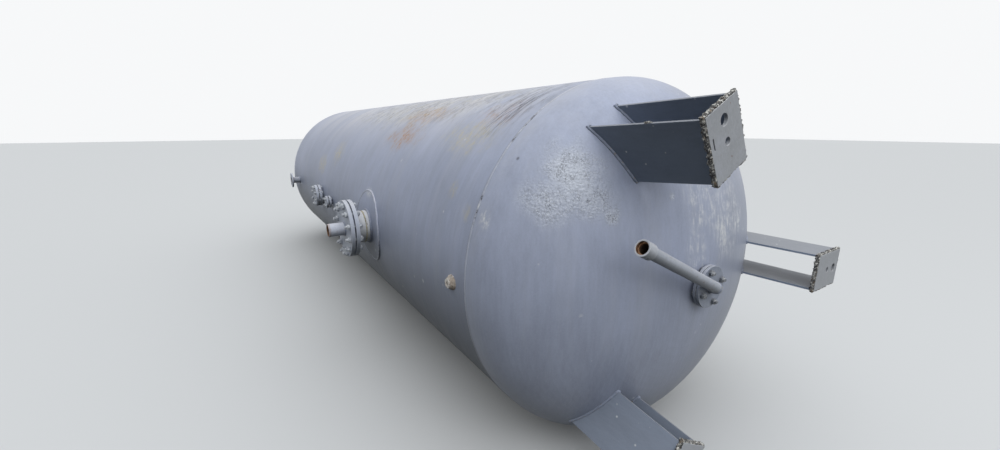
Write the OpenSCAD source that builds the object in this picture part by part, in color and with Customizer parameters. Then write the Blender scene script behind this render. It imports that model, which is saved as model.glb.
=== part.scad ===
// Air receiver lying on its side.
//
// A welded steel pressure vessel that was made to stand upright on three legs
// and now lies level on the ground. Its axis runs along X, the legged end is
// towards +X, and every side branch points to -Y. Z is up and Z = 0 is the
// ground under the shell. X = 0 and Y = 0 are the middle of the overall length
// and width. All sizes are in millimetres.

/* [Shell] */
// Outside diameter of the shell
shell_d = 1800; // [1500:10:2400]
// Length of the shell between its two head seams
shell_len = 4900; // [3900:50:7000]
// Thickness of the shell and head plates
wall = 14; // [8:1:24]

/* [Heads] */
// Height of the domed part of a head, outside
head_depth = 460; // [370:5:620]
// Length of the straight rim of a head
head_rim = 50; // [25:5:80]

/* [Seam welds] */
// Width of a round seam weld
seam_w = 16; // [10:1:24]
// Height of a round seam weld above the plate
seam_h = 2; // [1:0.5:4]
// Share of that height worn off where the vessel lies on its seam welds
seam_worn = 0.7; // [0.3:0.05:0.9]

/* [Legs] */
// Turn of the uppermost leg from straight up, towards the side branches
leg_turn = 29; // [15:1:45]
// Width over the two side plates of a leg
leg_w = 178; // [120:2:260]
// Thickness of a side plate
leg_t = 10; // [6:1:20]
// Distance of a side plate's outer corner inside the shell line, at the head
leg_inset = 97; // [60:1:160]
// Distance of a side plate's outer corner inside the shell line, at the foot
leg_foot_inset = 66; // [50:1:120]
// Breadth of a side plate where it meets the head
leg_root = 256; // [180:2:320]
// Breadth of a side plate at the foot
leg_tip = 228; // [160:2:300]
// Distance from the middle of the head to the back of the foot plates
leg_reach = 202; // [140:2:360]
// Thickness of a foot plate
foot_t = 12; // [8:1:25]
// Margin of a foot plate beyond the side plates, inwards and outwards
foot_lip = 6; // [0:1:20]
// Diameter of the outer hole in a foot plate
foot_hole_d = 40; // [18:1:48]
// Diameter of the inner hole in a foot plate
foot_hole2_d = 27; // [14:1:40]
// Distance of the outer hole from the outer edge of a foot plate
foot_hole_in = 52; // [34:1:80]
// Distance between the two holes of a foot plate
foot_hole_step = 74; // [50:1:110]
// Length of the flame-cut slit in the upper foot plate
foot_slit_l = 43; // [20:1:60]
// Width of that slit
foot_slit_w = 6; // [3:0.5:10]

/* [Leg welds] */
// Size of the fillet welds on the legs
leg_weld = 8; // [4:1:12]

/* [Main branch] */
// Distance of the main branch from the seam at the legged end
main_x = 1405; // [700:5:1900]
// Outside diameter of the main branch
main_d = 219; // [180:1:324]
// Wall thickness of the main branch
main_wall = 8; // [5:0.5:12]
// Thickness of the main flange and of its cover
main_flange_t = 24; // [20:1:44]
// Distance from the shell to the back of the main flange
main_out = 102; // [70:1:160]
// Distance from the outside of the main branch to the middle of a flange bolt
main_bolt_room = 55.5; // [34:0.5:60]
// Distance from the middle of a main flange bolt to the flange's edge
main_bolt_edge = 27.5; // [20:0.5:40]
// Diameter of the main flange bolts
main_bolt_d = 22; // [14:1:24]
// Breadth of the stiffening ring around the main branch
pad_w = 134; // [60:0.5:160]
// Thickness of the stiffening ring
pad_t = 8; // [5:1:12]
// Outside diameter of the pipe stub on the main cover
stub_d = 89; // [60:1:114]
// Wall thickness of the pipe stub
stub_wall = 5.5; // [3:0.5:8]
// Length of the pipe stub beyond the main cover
stub_out = 106; // [60:1:200]

/* [Second branch] */
// Distance of the second branch from the seam at the legged end
second_x = 3010; // [2860:5:3300]
// Outside diameter of the second branch
second_d = 114; // [76:1:120]
// Thickness of the second flange and of its cover
second_flange_t = 22; // [16:1:30]
// Distance from the shell to the back of the second flange
second_out = 18; // [14:1:80]
// Distance from the outside of the second branch to the middle of a flange bolt
second_bolt_room = 31; // [26:0.5:45]
// Distance from the middle of a second flange bolt to the flange's edge
second_bolt_edge = 16.5; // [16:0.5:30]

/* [Small branch] */
// Distance of the small branch from the seam at the legged end
small_x = 2550; // [2000:5:2720]
// Outside diameter of the small branch
small_d = 34; // [21:1:42]
// Thickness of the small flange and of its cover
small_flange_t = 16; // [12:1:22]
// Distance from the shell to the back of the small flange
small_out = 16; // [14:1:80]
// Distance from the outside of the small branch to the middle of a flange bolt
small_bolt_room = 24; // [20:0.5:35]
// Distance from the middle of a small flange bolt to the flange's edge
small_bolt_edge = 14; // [12:0.5:24]

/* [Open branch] */
// Distance of the open branch from the seam at the plain end
open_x = 400; // [200:5:700]
// Outside diameter of the open branch
open_d = 76; // [60:1:89]
// Thickness of the open flange
open_flange_t = 15; // [12:1:28]
// Distance from the shell to the face of the open flange
open_out = 100; // [60:1:200]
// Distance from the outside of the open branch to the middle of a flange hole
open_hole_room = 34.5; // [24:0.5:50]
// Distance from the middle of an open flange hole to the flange's edge
open_hole_edge = 20; // [16:0.5:35]
// Diameter of the holes in the open flange
open_hole_d = 18; // [12:1:20]

/* [Gauge socket] */
// Distance of the gauge socket from the seam at the legged end
socket_x = 117; // [80:1:400]
// Outside diameter of the gauge socket
socket_d = 42; // [32:1:60]
// Bore of the gauge socket
socket_bore = 18; // [10:1:24]
// Distance that the gauge socket stands out of the shell
socket_out = 26; // [15:1:50]

/* [Drain] */
// Outside diameter of the drain pipe
drain_d = 48; // [38:1:60]
// Wall thickness of the drain pipe
drain_wall = 4; // [2.5:0.5:6]
// Turn of the drain pipe from straight up, towards the side branches
drain_turn = 63; // [50:1:75]
// Length of the drain pipe from the middle of the head to its open end
drain_len = 590; // [350:5:700]
// Distance from the head to the back of the drain flanges
drain_out = 13; // [13:1:40]
// Thickness of each drain flange
drain_flange_t = 12; // [10:1:24]
// Distance from the outside of the drain pipe to the middle of a flange bolt
drain_bolt_room = 48.5; // [36:0.5:60]
// Distance from the middle of a drain flange bolt to the flange's edge
drain_bolt_edge = 21.5; // [18:0.5:32]
// Thickness of the coupling on the drain pipe's end
coupling_t = 6.7; // [3:0.1:12]
// Length of the coupling
coupling_len = 48; // [30:1:90]

/* [Fits] */
// Gap between a pipe and the hole that it is welded into
pipe_gap = 0.3; // [0.1:0.1:0.5]
// Gap around a bolt in its hole
bolt_gap = 1; // [0.5:0.25:1.5]
// Thickness of a gasket
gasket_t = 3; // [1:0.5:5]
// Height of a flange's raised face
face_h = 3; // [1:0.5:4]

/* [Hidden] */

$fn = 144;
cut = 5;                 // how far a cutting shape runs past what it cuts
head_steps = 32;         // straight pieces in the outline of a domed head

// flanges, nuts and pipe ends
pipe_back = 5;           // how far a pipe's end stays behind the face of its flange
pipe_in = 10;            // how far a small branch reaches into the vessel
face_clear = 6;          // what a raised face leaves free inside the bolt holes, over the diameter
nut_h = 0.8;             // height of a nut, in bolt diameters
nut_w = 1.8;             // width of a nut over its corners, in bolt diameters

// vessel body and legs
shell_r = shell_d / 2;
rest_h = shell_r + seam_h * (1 - seam_worn);
head_end = head_rim + head_depth;
leg_end = head_end + leg_reach;
foot_out = shell_r - leg_foot_inset + foot_lip;
foot_len = leg_tip + 2 * foot_lip;
foot_in = foot_out - foot_len;
foot_slit_in = 78;       // distance of the slit from the foot plate's outer edge
foot_slit_side = 18;     // distance of the slit from the foot plate's near edge
foot_bead_back = 2;      // how far the bead round a foot plate stays behind its face
top_turn = leg_turn;
low_turn = leg_turn + 120;
back_turn = leg_turn - 120;

// main branch
main_bolts = 12;
main_bolt_under = 6;     // how far a main bolt runs past its lower nut
main_bolt_over = 16;     // how far a main bolt runs past its upper nut
main_in = 20;            // how far the main branch reaches into the vessel
main_weld_w = 10;        // breadth of the weld round the main branch on its ring
main_weld_h = 12;        // height of that weld
main_seam_w = 12;        // width of the seam weld in the main branch's own pipe
main_seam_h = 2.5;       // height of that weld
main_seam_out = 40;      // distance of that weld from the shell
main_hole = main_bolt_d + 2 * bolt_gap;
main_pcd = main_d + 2 * main_bolt_room;
main_flange_d = main_pcd + 2 * main_bolt_edge;
main_back = shell_r + main_out;
main_face = main_back + main_flange_t + face_h;
main_cover_back = main_face + gasket_t + face_h;
main_end = main_cover_back + main_flange_t;
stub_end = main_end + stub_out;
pad_d = main_d + 2 * pad_w;

// second, small and open branches
second_wall = 6;
second_bolts = 8;
second_bolt_d = 16;
second_bolt_under = 2;
second_bolt_over = 9;
second_hole = second_bolt_d + 2 * bolt_gap;
second_pcd = second_d + 2 * second_bolt_room;
second_flange_d = second_pcd + 2 * second_bolt_edge;
small_wall = 4;
small_bolts = 4;
small_bolt_d = 12;
small_bolt_under = 2;
small_bolt_over = 8;
small_hole = small_bolt_d + 2 * bolt_gap;
small_pcd = small_d + 2 * small_bolt_room;
small_flange_d = small_pcd + 2 * small_bolt_edge;
open_wall = 4;
open_holes = 4;
open_pcd = open_d + 2 * open_hole_room;
open_flange_d = open_pcd + 2 * open_hole_edge;
socket_in = 4;           // how far the gauge socket reaches into the vessel

// drain
drain_bolts_n = 4;
drain_bolt_d = 16;
drain_bolt_over = 9;
drain_in = 15;           // how far the drain reaches into the vessel
drain_gasket_in = 4;     // how far the gasket's bore stays outside the pipe
drain_hole = drain_bolt_d + 2 * bolt_gap;
drain_pcd = drain_d + 2 * drain_bolt_room;
drain_flange_d = drain_pcd + 2 * drain_bolt_edge;
drain_back = head_end + drain_out;
drain_face = drain_back + drain_flange_t + gasket_t;
drain_front = drain_face + drain_flange_t;
elbow_inner = 10;        // radius of the elbow's inner side
drain_bend = drain_d / 2 + elbow_inner;
drain_axis_x = drain_front + drain_bend;
coupling_past = 12;      // how far the coupling runs past the pipe's end
coupling_d = drain_d + 2 * pipe_gap + 2 * coupling_t;

// middle of the overall length and width
middle_x = (leg_end + foot_t - shell_len - head_end) / 2;
middle_y = (shell_r - stub_end) / 2;

steel = [0.45, 0.48, 0.53];
dark_steel = [0.20, 0.23, 0.27];
rusty_steel = [0.42, 0.27, 0.18];
bolt_steel = [0.60, 0.60, 0.58];
gasket_grey = [0.12, 0.12, 0.12];

// puts a piece drawn about the vessel's axis, from the seam at the legged end, on the ground
module placed() {
    translate([-middle_x, -middle_y, rest_h]) children();
}

// turns a shape drawn up Z so that it runs along the vessel's axis
module along_axis(x = 0) {
    translate([x, 0, 0]) rotate([0, 90, 0]) children();
}

// turns a shape drawn up Z so that it runs out of the shell's side at a distance from the seam
module branch(x) {
    translate([-x, 0, 0]) rotate([90, 0, 0]) children();
}

module tube(r, bore, h) {
    difference() {
        cylinder(r = r, h = h);
        translate([0, 0, -cut]) cylinder(r = bore, h = h + 2 * cut);
    }
}

// outline of a solid dome on a straight rim, grown by g all round
function dome(g) = concat([[0, -cut], [shell_r + g, -cut]],
    [for (i = [0 : head_steps]) [(shell_r + g) * cos(90 * i / head_steps),
        head_rim + (head_depth + g) * sin(90 * i / head_steps)]]);

module dome_solid(g = 0) {
    along_axis() rotate_extrude() polygon(dome(g));
}

// bolt circle whose bolts straddle the line along local X
module bolt_circle(n, pcd) {
    for (i = [0 : n - 1]) rotate([0, 0, (i + 0.5) * 360 / n]) translate([pcd / 2, 0, 0]) children();
}

// round flange plate with bolt holes, and a raised face on top unless its height is 0
module flange_plate(d, t, bore, n, pcd, hole, raised) {
    difference() {
        union() {
            cylinder(d = d, h = t);
            if (raised > 0) translate([0, 0, t]) cylinder(d = pcd - hole - face_clear, h = raised);
        }
        if (bore > 0) translate([0, 0, -cut]) cylinder(d = bore, h = t + raised + 2 * cut);
        bolt_circle(n, pcd) translate([0, 0, -cut]) cylinder(d = hole, h = t + 2 * cut);
    }
}

// ring that fills the joint between two raised faces, or two plain ones, inside the bolts
module gasket(bore, pcd, hole) {
    tube((pcd - hole - face_clear) / 2, bore / 2, gasket_t);
}

// stud and its two nuts, clamping a joint of a given height and running on past each nut
module stud(d, grip, under, over) {
    translate([0, 0, -nut_h * d - under]) cylinder(d = d, h = grip + 2 * nut_h * d + under + over, $fn = 24);
    translate([0, 0, -nut_h * d]) cylinder(d = nut_w * d, h = nut_h * d, $fn = 6);
    translate([0, 0, grip]) cylinder(d = nut_w * d, h = nut_h * d, $fn = 6);
}

// Vessel body: a rolled shell, two pressed heads, and the seam welds that join them

module shell() {
    color(steel) placed() difference() {
        along_axis(-shell_len) tube(shell_r, shell_r - wall, shell_len);
        branch(main_x) cylinder(d = main_d + 2 * pipe_gap, h = shell_r + cut);
        branch(second_x) cylinder(d = second_d + 2 * pipe_gap, h = shell_r + cut);
        branch(small_x) cylinder(d = small_d + 2 * pipe_gap, h = shell_r + cut);
        branch(shell_len - open_x) cylinder(d = open_d + 2 * pipe_gap, h = shell_r + cut);
        branch(socket_x) cylinder(d = socket_d + 2 * pipe_gap, h = shell_r + cut);
    }
}

module head_plate(hole) {
    along_axis() rotate_extrude() polygon(concat(
        [[shell_r - wall, 0], [shell_r, 0]],
        [for (i = [0 : head_steps - 1]) [shell_r * cos(90 * i / head_steps),
            head_rim + head_depth * sin(90 * i / head_steps)]],
        [[hole, head_rim + head_depth * sqrt(1 - pow(hole / shell_r, 2))]],
        [[hole, head_rim + (head_depth - wall) * sqrt(1 - pow(hole / (shell_r - wall), 2))]],
        [for (i = [head_steps - 1 : -1 : 0]) [(shell_r - wall) * cos(90 * i / head_steps),
            head_rim + (head_depth - wall) * sin(90 * i / head_steps)]]));
}

module legged_end_head() {
    color(steel) placed() head_plate(drain_d / 2 + pipe_gap);
}

module plain_end_head() {
    color(steel) placed() translate([-shell_len, 0, 0]) mirror([1, 0, 0]) head_plate(0);
}

// bead round a seam, worn flat where the vessel lies on it
module seam_weld() {
    difference() {
        along_axis() rotate_extrude() polygon([[shell_r, -seam_w / 2], [shell_r + seam_h / 2, -seam_w / 2],
            [shell_r + seam_h, -seam_w / 4], [shell_r + seam_h, seam_w / 4],
            [shell_r + seam_h / 2, seam_w / 2], [shell_r, seam_w / 2]]);
        translate([-seam_w, -shell_r, -rest_h - shell_r]) cube([2 * seam_w, shell_d, shell_r]);
    }
}

module legged_end_seam_weld() {
    color(steel) placed() seam_weld();
}

module plain_end_seam_weld() {
    color(steel) placed() translate([-shell_len, 0, 0]) seam_weld();
}

// Legs: two flame-cut side plates and a foot plate each, welded to the head

// stands a leg piece in place: local X runs along the vessel, local Z outwards from its axis
module leg_at(turn) {
    rotate([turn, 0, 0]) children();
}

// side plate outline in the X-Z plane, grown by g all round, before it is cut to the head
module leg_outline(g = 0) {
    polygon([[head_rim, shell_r - leg_inset + g], [leg_end + g, shell_r - leg_foot_inset + g],
        [leg_end + g, shell_r - leg_foot_inset - leg_tip - g], [head_rim, shell_r - leg_inset - leg_root - g]]);
}

// side plate before it is cut to the head, grown by g all round; side is 1 for the plate that
// faces the branches and -1 for the other
module side_slab(turn, side, g = 0) {
    leg_at(turn) translate([0, (side > 0 ? -leg_w / 2 + leg_t : leg_w / 2) + g, 0]) rotate([90, 0, 0])
        linear_extrude(height = leg_t + 2 * g) leg_outline(g);
}

module side_plate(turn, side) {
    difference() {
        side_slab(turn, side);
        dome_solid();
    }
}

module foot_hole(y, z, d) {
    translate([leg_end - cut, y, z]) rotate([0, 90, 0]) cylinder(d = d, h = foot_t + 2 * cut, $fn = 48);
}

module foot_plate(turn, slit = false) {
    leg_at(turn) difference() {
        translate([leg_end, -leg_w / 2, foot_in]) cube([foot_t, leg_w, foot_len]);
        foot_hole(0, foot_out - foot_hole_in, foot_hole_d);
        foot_hole(0, foot_out - foot_hole_in - foot_hole_step, foot_hole2_d);
        if (slit) {
            foot_hole(foot_slit_side - leg_w / 2, foot_out - foot_slit_in - foot_slit_w / 2, foot_slit_w);
            foot_hole(foot_slit_side - leg_w / 2, foot_out - foot_slit_in - foot_slit_l + foot_slit_w / 2, foot_slit_w);
            translate([leg_end - cut, foot_slit_side - leg_w / 2 - foot_slit_w / 2,
                foot_out - foot_slit_in - foot_slit_l + foot_slit_w / 2])
                cube([foot_t + 2 * cut, foot_slit_w, foot_slit_l - foot_slit_w]);
        }
    }
}

// bead all round the foot plate's edge, and a fillet round each side plate at the head
module leg_weld_beads(turn) {
    leg_at(turn) difference() {
        translate([leg_end - leg_weld, -leg_w / 2 - leg_weld / 2, foot_in - leg_weld / 2])
            cube([foot_t + leg_weld - foot_bead_back, leg_w + leg_weld, foot_len + leg_weld]);
        translate([leg_end - leg_weld - cut, -leg_w / 2, foot_in])
            cube([foot_t + leg_weld + 2 * cut, leg_w, foot_len]);
    }
    for (side = [1, -1]) difference() {
        side_slab(turn, side, leg_weld);
        dome_solid();
        difference() {
            translate([0, -shell_r - cut, -shell_r - cut])
                cube([leg_end + leg_weld + cut, shell_d + 2 * cut, shell_d + 2 * cut]);
            dome_solid(leg_weld);
        }
        side_slab(turn, side);
    }
}

module top_leg_near_plate() { color(dark_steel) placed() side_plate(top_turn, 1); }
module top_leg_far_plate() { color(dark_steel) placed() side_plate(top_turn, -1); }
module top_leg_foot() { color(steel) placed() foot_plate(top_turn, slit = true); }
module top_leg_welds() { color(rusty_steel) placed() leg_weld_beads(top_turn); }

module low_leg_near_plate() { color(dark_steel) placed() side_plate(low_turn, 1); }
module low_leg_far_plate() { color(dark_steel) placed() side_plate(low_turn, -1); }
module low_leg_foot() { color(steel) placed() foot_plate(low_turn); }
module low_leg_welds() { color(rusty_steel) placed() leg_weld_beads(low_turn); }

module back_leg_near_plate() { color(dark_steel) placed() side_plate(back_turn, 1); }
module back_leg_far_plate() { color(dark_steel) placed() side_plate(back_turn, -1); }
module back_leg_foot() { color(steel) placed() foot_plate(back_turn); }
module back_leg_welds() { color(rusty_steel) placed() leg_weld_beads(back_turn); }

// Main branch: a pipe through a stiffening ring, with a bolted cover that carries a pipe stub

// layer of metal lying on the shell, between two heights above its surface
module shell_layer(low, high) {
    along_axis(-shell_len) tube(shell_r + high, shell_r + low, shell_len);
}

// tube along the main branch that cuts a ring out of such a layer
module main_ring(d, bore) {
    branch(main_x) translate([0, 0, shell_r / 2]) tube(d / 2, bore / 2, shell_r);
}

module main_branch_pad() {
    color(steel) placed() intersection() {
        shell_layer(0, pad_t);
        main_ring(pad_d, main_d + 2 * pipe_gap);
    }
}

module main_branch_neck() {
    color(steel) placed() branch(main_x) translate([0, 0, shell_r - wall - main_in])
        tube(main_d / 2, main_d / 2 - main_wall, wall + main_in + main_out + main_flange_t - pipe_back);
}

module main_branch_welds() {
    color(rusty_steel) placed() {
        intersection() {
            shell_layer(pad_t, pad_t + main_weld_h);
            main_ring(main_d + 2 * main_weld_w, main_d);
        }
        branch(main_x) translate([0, 0, shell_r + main_seam_out])
            tube(main_d / 2 + main_seam_h, main_d / 2, main_seam_w);
    }
}

module main_branch_flange() {
    color(steel) placed() branch(main_x) translate([0, 0, main_back])
        flange_plate(main_flange_d, main_flange_t, main_d + 2 * pipe_gap, main_bolts, main_pcd, main_hole, face_h);
}

module main_branch_gasket() {
    color(gasket_grey) placed() branch(main_x) translate([0, 0, main_face])
        gasket(main_d - 2 * main_wall, main_pcd, main_hole);
}

module main_branch_cover() {
    color(steel) placed() branch(main_x) translate([0, 0, main_end]) mirror([0, 0, 1])
        flange_plate(main_flange_d, main_flange_t, stub_d - 2 * stub_wall, main_bolts, main_pcd, main_hole, face_h);
}

module main_branch_stub() {
    color(rusty_steel) placed() branch(main_x) translate([0, 0, main_end])
        tube(stub_d / 2, stub_d / 2 - stub_wall, stub_out);
}

module main_branch_bolts() {
    color(bolt_steel) placed() branch(main_x) translate([0, 0, main_back]) bolt_circle(main_bolts, main_pcd)
        stud(main_bolt_d, main_end - main_back, main_bolt_under, main_bolt_over);
}

// Second and small branches: a forged neck flange and a blind cover each

module neck_flange(d, wall_t, out, flange_d, t, n, pcd, hole) {
    translate([0, 0, shell_r - wall - pipe_in]) tube(d / 2, d / 2 - wall_t, wall + pipe_in + out + t / 2);
    translate([0, 0, shell_r + out]) flange_plate(flange_d, t, d - 2 * wall_t, n, pcd, hole, face_h);
}

module blind_cover(out, flange_d, t, n, pcd, hole) {
    translate([0, 0, shell_r + out + 2 * t + 2 * face_h + gasket_t]) mirror([0, 0, 1])
        flange_plate(flange_d, t, 0, n, pcd, hole, face_h);
}

module second_branch_neck() {
    color(steel) placed() branch(second_x) neck_flange(second_d, second_wall, second_out, second_flange_d,
        second_flange_t, second_bolts, second_pcd, second_hole);
}

module second_branch_gasket() {
    color(gasket_grey) placed() branch(second_x) translate([0, 0, shell_r + second_out + second_flange_t + face_h])
        gasket(second_d - 2 * second_wall, second_pcd, second_hole);
}

module second_branch_cover() {
    color(steel) placed() branch(second_x)
        blind_cover(second_out, second_flange_d, second_flange_t, second_bolts, second_pcd, second_hole);
}

module second_branch_bolts() {
    color(bolt_steel) placed() branch(second_x) translate([0, 0, shell_r + second_out])
        bolt_circle(second_bolts, second_pcd)
        stud(second_bolt_d, 2 * second_flange_t + 2 * face_h + gasket_t, second_bolt_under, second_bolt_over);
}

module small_branch_neck() {
    color(steel) placed() branch(small_x) neck_flange(small_d, small_wall, small_out, small_flange_d,
        small_flange_t, small_bolts, small_pcd, small_hole);
}

module small_branch_gasket() {
    color(gasket_grey) placed() branch(small_x) translate([0, 0, shell_r + small_out + small_flange_t + face_h])
        gasket(small_d - 2 * small_wall, small_pcd, small_hole);
}

module small_branch_cover() {
    color(steel) placed() branch(small_x)
        blind_cover(small_out, small_flange_d, small_flange_t, small_bolts, small_pcd, small_hole);
}

module small_branch_bolts() {
    color(bolt_steel) placed() branch(small_x) translate([0, 0, shell_r + small_out])
        bolt_circle(small_bolts, small_pcd)
        stud(small_bolt_d, 2 * small_flange_t + 2 * face_h + gasket_t, small_bolt_under, small_bolt_over);
}

// Open branch and gauge socket

module open_branch_neck() {
    color(rusty_steel) placed() branch(shell_len - open_x) translate([0, 0, shell_r - wall - pipe_in])
        tube(open_d / 2, open_d / 2 - open_wall, wall + pipe_in + open_out - pipe_back);
}

module open_branch_flange() {
    color(steel) placed() branch(shell_len - open_x) translate([0, 0, shell_r + open_out - open_flange_t])
        flange_plate(open_flange_d, open_flange_t, open_d + 2 * pipe_gap, open_holes, open_pcd, open_hole_d, 0);
}

module gauge_socket() {
    color(bolt_steel) placed() branch(socket_x) translate([0, 0, shell_r - wall - socket_in])
        tube(socket_d / 2, socket_bore / 2, wall + socket_in + socket_out);
}

// Drain: two bolted flanges in the middle of the head and a bent pipe with a coupling on its end

module drain_neck() {
    color(steel) placed() along_axis(head_end - wall - drain_in)
        tube(drain_d / 2, drain_d / 2 - drain_wall, wall + drain_in + drain_out + drain_flange_t - pipe_back);
}

module drain_flange(x) {
    along_axis(x) rotate([0, 0, drain_turn])
        flange_plate(drain_flange_d, drain_flange_t, drain_d + 2 * pipe_gap, drain_bolts_n, drain_pcd, drain_hole, 0);
}

module drain_fixed_flange() {
    color(steel) placed() drain_flange(drain_back);
}

module drain_gasket() {
    color(gasket_grey) placed() along_axis(drain_back + drain_flange_t)
        gasket(drain_d + 2 * drain_gasket_in, drain_pcd, drain_hole);
}

module drain_loose_flange() {
    color(steel) placed() drain_flange(drain_face);
}

// puts a shape drawn up Z on the line of the drain pipe
module drain_line() {
    translate([drain_axis_x, 0, 0]) rotate([drain_turn, 0, 0]) children();
}

module drain_elbow() {
    color(steel) placed() drain_line() {
        translate([-drain_bend, 0, drain_bend]) rotate([90, 0, 0])
            rotate_extrude(angle = -90) translate([drain_bend, 0]) difference() {
                circle(d = drain_d);
                circle(d = drain_d - 2 * drain_wall);
            }
        translate([drain_face + pipe_back - drain_axis_x, 0, 0]) rotate([0, 90, 0])
            tube(drain_d / 2, drain_d / 2 - drain_wall, drain_axis_x - drain_bend - drain_face - pipe_back);
    }
}

module drain_pipe() {
    color(steel) placed() drain_line() translate([0, 0, drain_bend])
        tube(drain_d / 2, drain_d / 2 - drain_wall, drain_len - drain_bend);
}

module drain_coupling() {
    color(rusty_steel) placed() drain_line() translate([0, 0, drain_len - coupling_len + coupling_past])
        tube(coupling_d / 2, drain_d / 2 + pipe_gap, coupling_len);
}

module drain_bolts() {
    color(bolt_steel) placed() along_axis(drain_back) rotate([0, 0, drain_turn]) bolt_circle(drain_bolts_n, drain_pcd)
        stud(drain_bolt_d, 2 * drain_flange_t + gasket_t, 0, drain_bolt_over);
}

shell();
legged_end_head();
plain_end_head();
legged_end_seam_weld();
plain_end_seam_weld();
top_leg_near_plate();
top_leg_far_plate();
top_leg_foot();
top_leg_welds();
low_leg_near_plate();
low_leg_far_plate();
low_leg_foot();
low_leg_welds();
back_leg_near_plate();
back_leg_far_plate();
back_leg_foot();
back_leg_welds();
main_branch_pad();
main_branch_neck();
main_branch_welds();
main_branch_flange();
main_branch_gasket();
main_branch_cover();
main_branch_stub();
main_branch_bolts();
second_branch_neck();
second_branch_gasket();
second_branch_cover();
second_branch_bolts();
small_branch_neck();
small_branch_gasket();
small_branch_cover();
small_branch_bolts();
open_branch_neck();
open_branch_flange();
gauge_socket();
drain_neck();
drain_fixed_flange();
drain_gasket();
drain_loose_flange();
drain_elbow();
drain_pipe();
drain_coupling();
drain_bolts();
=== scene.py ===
"""An old welded air receiver, lying on its side on a plain studio floor."""

import math

import bmesh
import bpy
from mathutils import Matrix, Vector, noise


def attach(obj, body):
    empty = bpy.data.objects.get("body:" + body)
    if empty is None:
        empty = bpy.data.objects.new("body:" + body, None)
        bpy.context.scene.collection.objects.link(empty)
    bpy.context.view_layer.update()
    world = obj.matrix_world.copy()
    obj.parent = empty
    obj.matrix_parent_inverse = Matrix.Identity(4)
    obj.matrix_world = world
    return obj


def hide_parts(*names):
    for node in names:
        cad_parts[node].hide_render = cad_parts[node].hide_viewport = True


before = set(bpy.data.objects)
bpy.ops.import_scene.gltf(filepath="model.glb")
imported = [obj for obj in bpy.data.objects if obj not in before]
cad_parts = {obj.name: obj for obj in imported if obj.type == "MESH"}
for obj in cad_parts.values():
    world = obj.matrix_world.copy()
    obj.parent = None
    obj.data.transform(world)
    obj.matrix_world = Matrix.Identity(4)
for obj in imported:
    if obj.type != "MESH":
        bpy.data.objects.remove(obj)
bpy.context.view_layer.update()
scene = bpy.context.scene
scene.view_settings.view_transform = "Standard"


# Camera and studio. The camera stands by the legged end at eye height, with a wide
# lens, and looks along the vessel and a little down. The light is soft and even.

CAMERA_PLACE = (3.757, -1.525, 1.568)
CAMERA_YAW = math.radians(146.517)
CAMERA_PITCH = math.radians(13.50)
CAMERA_ROLL = math.radians(-0.062)
CAMERA_LENS = 14.66
CAMERA_SENSOR = 36.0
SKY_COLOUR = (0.97, 0.99, 1.0, 1.0)
HORIZON = 0.02
SKY_TOP = 1.72
SKY_EDGE = 0.01
SKY_TILT = (0.33, 0.0, 0.944)
SOFTBOX_AIM = (2.6, -0.4, 1.3)
SOFTBOX_WAY = (0.83, -0.05, 0.62)
SOFTBOX_FAR = 7.0
SOFTBOX_SIZE = 3.4
SOFTBOX_WATTS = 45.0
BACKGROUND = (0.93, 0.94, 0.95, 1.0)
FLOOR_SEEN = (0.62, 0.63, 0.64, 1.0)
FLOOR_BOUNCE = (0.030, 0.034, 0.030, 1.0)
FLOOR_HALF = 60.0


def add_object(name, data):
    """An object made of some data and put in the scene."""
    made = bpy.data.objects.new(name, data)
    scene.collection.objects.link(made)
    return made


camera_data = bpy.data.cameras.new("camera")
camera_data.sensor_width = CAMERA_SENSOR
camera_data.lens = CAMERA_LENS
camera = add_object("camera", camera_data)
level = math.cos(CAMERA_PITCH)
ahead = Vector((math.cos(CAMERA_YAW) * level, math.sin(CAMERA_YAW) * level, -math.sin(CAMERA_PITCH)))
camera.matrix_world = (
    Matrix.Translation(CAMERA_PLACE)
    @ ahead.to_track_quat("-Z", "Y").to_matrix().to_4x4()
    @ Matrix.Rotation(CAMERA_ROLL, 4, "Z")
)
scene.camera = camera


def add_node(tree, kind, sockets=None, **settings):
    """A shader node with its settings made and its sockets linked or given values."""
    made = tree.nodes.new(kind)
    for name, value in settings.items():
        setattr(made, name, value)
    for name, value in (sockets or {}).items():
        if isinstance(value, bpy.types.NodeSocket):
            tree.links.new(value, made.inputs[name])
        else:
            made.inputs[name].default_value = value
    return made


def calc(tree, operation, first, second=0.0, third=0.0):
    """The result of one sum on up to three numbers."""
    sockets = {0: first, 1: second, 2: third}
    return add_node(tree, "ShaderNodeMath", sockets, operation=operation).outputs[0]


def times(tree, first, second):
    """One number times another."""
    return calc(tree, "MULTIPLY", first, second)


def added(tree, value, share, base):
    """A share of one number added to another."""
    return calc(tree, "MULTIPLY_ADD", value, share, base)


def vector_calc(tree, operation, first, second=(0.0, 0.0, 0.0)):
    """The result of one sum on vectors: a number for a length or a dot product, else a vector."""
    sockets = {0: first, "Scale" if operation == "SCALE" else 1: second}
    made = add_node(tree, "ShaderNodeVectorMath", sockets, operation=operation)
    return made.outputs[1 if operation in ("LENGTH", "DOT_PRODUCT") else 0]


def tint(tree, share, under, over, strength=None):
    """One colour laid over another by a share from 0 to 1, weakened by any strength given."""
    if strength is not None:
        share = times(tree, share, strength)
    sockets = {0: share, 6: under, 7: over}
    return add_node(tree, "ShaderNodeMix", sockets, data_type="RGBA").outputs[2]


def seen_directly(tree):
    """1 for a ray that shows the backdrop, straight or mirrored, and 0 for one that lights."""
    path = add_node(tree, "ShaderNodeLightPath")
    glossy = calc(tree, "MAXIMUM", path.outputs["Is Glossy Ray"], path.outputs["Is Transmission Ray"])
    return calc(tree, "MAXIMUM", path.outputs["Is Camera Ray"], glossy)


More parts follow.
